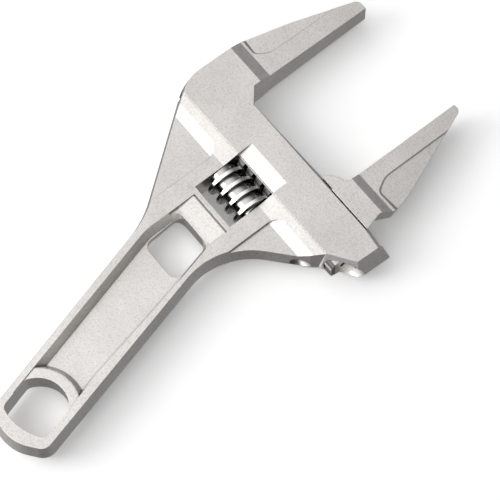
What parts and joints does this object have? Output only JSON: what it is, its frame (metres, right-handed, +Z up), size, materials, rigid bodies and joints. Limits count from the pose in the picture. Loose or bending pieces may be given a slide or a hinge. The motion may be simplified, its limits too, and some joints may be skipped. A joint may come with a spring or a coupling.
{
  "type": "adjustable wrench",
  "caption": "Short lightweight adjustable wrench with long thin jaws for plumbing nuts: a worm slides the jaw along the head, and the flat handle is pierced.",
  "frame": {"origin": "centre of the whole tool's length and width, at the level of the worm's lowest crest, which is what the tool lies on", "axes": "+X the way the moving jaw opens, +Y along the jaws towards their tips with the handle towards -Y, +Z up through the thickness"},
  "size_m": [0.1034, 0.2085, 0.0164],
  "materials": {
    "body": "bead-blasted satin",
    "jaw": "bead-blasted satin",
    "rack": "machined",
    "screw": "blackened",
    "worm": "polished",
    "pin": "turned",
    "spring": "drawn wire"
  },
  "bodies": {
    "frame": {"wrench_body": "body", "worm_pin": "pin", "worm_spring": "spring"},
    "jaw": {"moving_jaw": "jaw", "rack_bar": "rack", "jaw_lock_screw": "screw"},
    "worm": {"adjusting_worm": "worm"}
  },
  "joints": [
    {"name": "jaw_slide", "type": "slide", "parent": "frame", "child": "jaw", "axis": [1, 0, 0], "range_m": [-0.034, 0.016]},
    {"name": "worm_spin", "type": "hinge", "parent": "frame", "child": "worm", "pos_m": [-0.00275, 0.0194, 0.0082], "axis": [1, 0, 0], "range_deg": [-2460, 1160]}
  ],
  "couplings": [
    {"joint": "worm_spin", "follows": "jaw_slide", "rad_per_m": 1256.6}
  ]
}
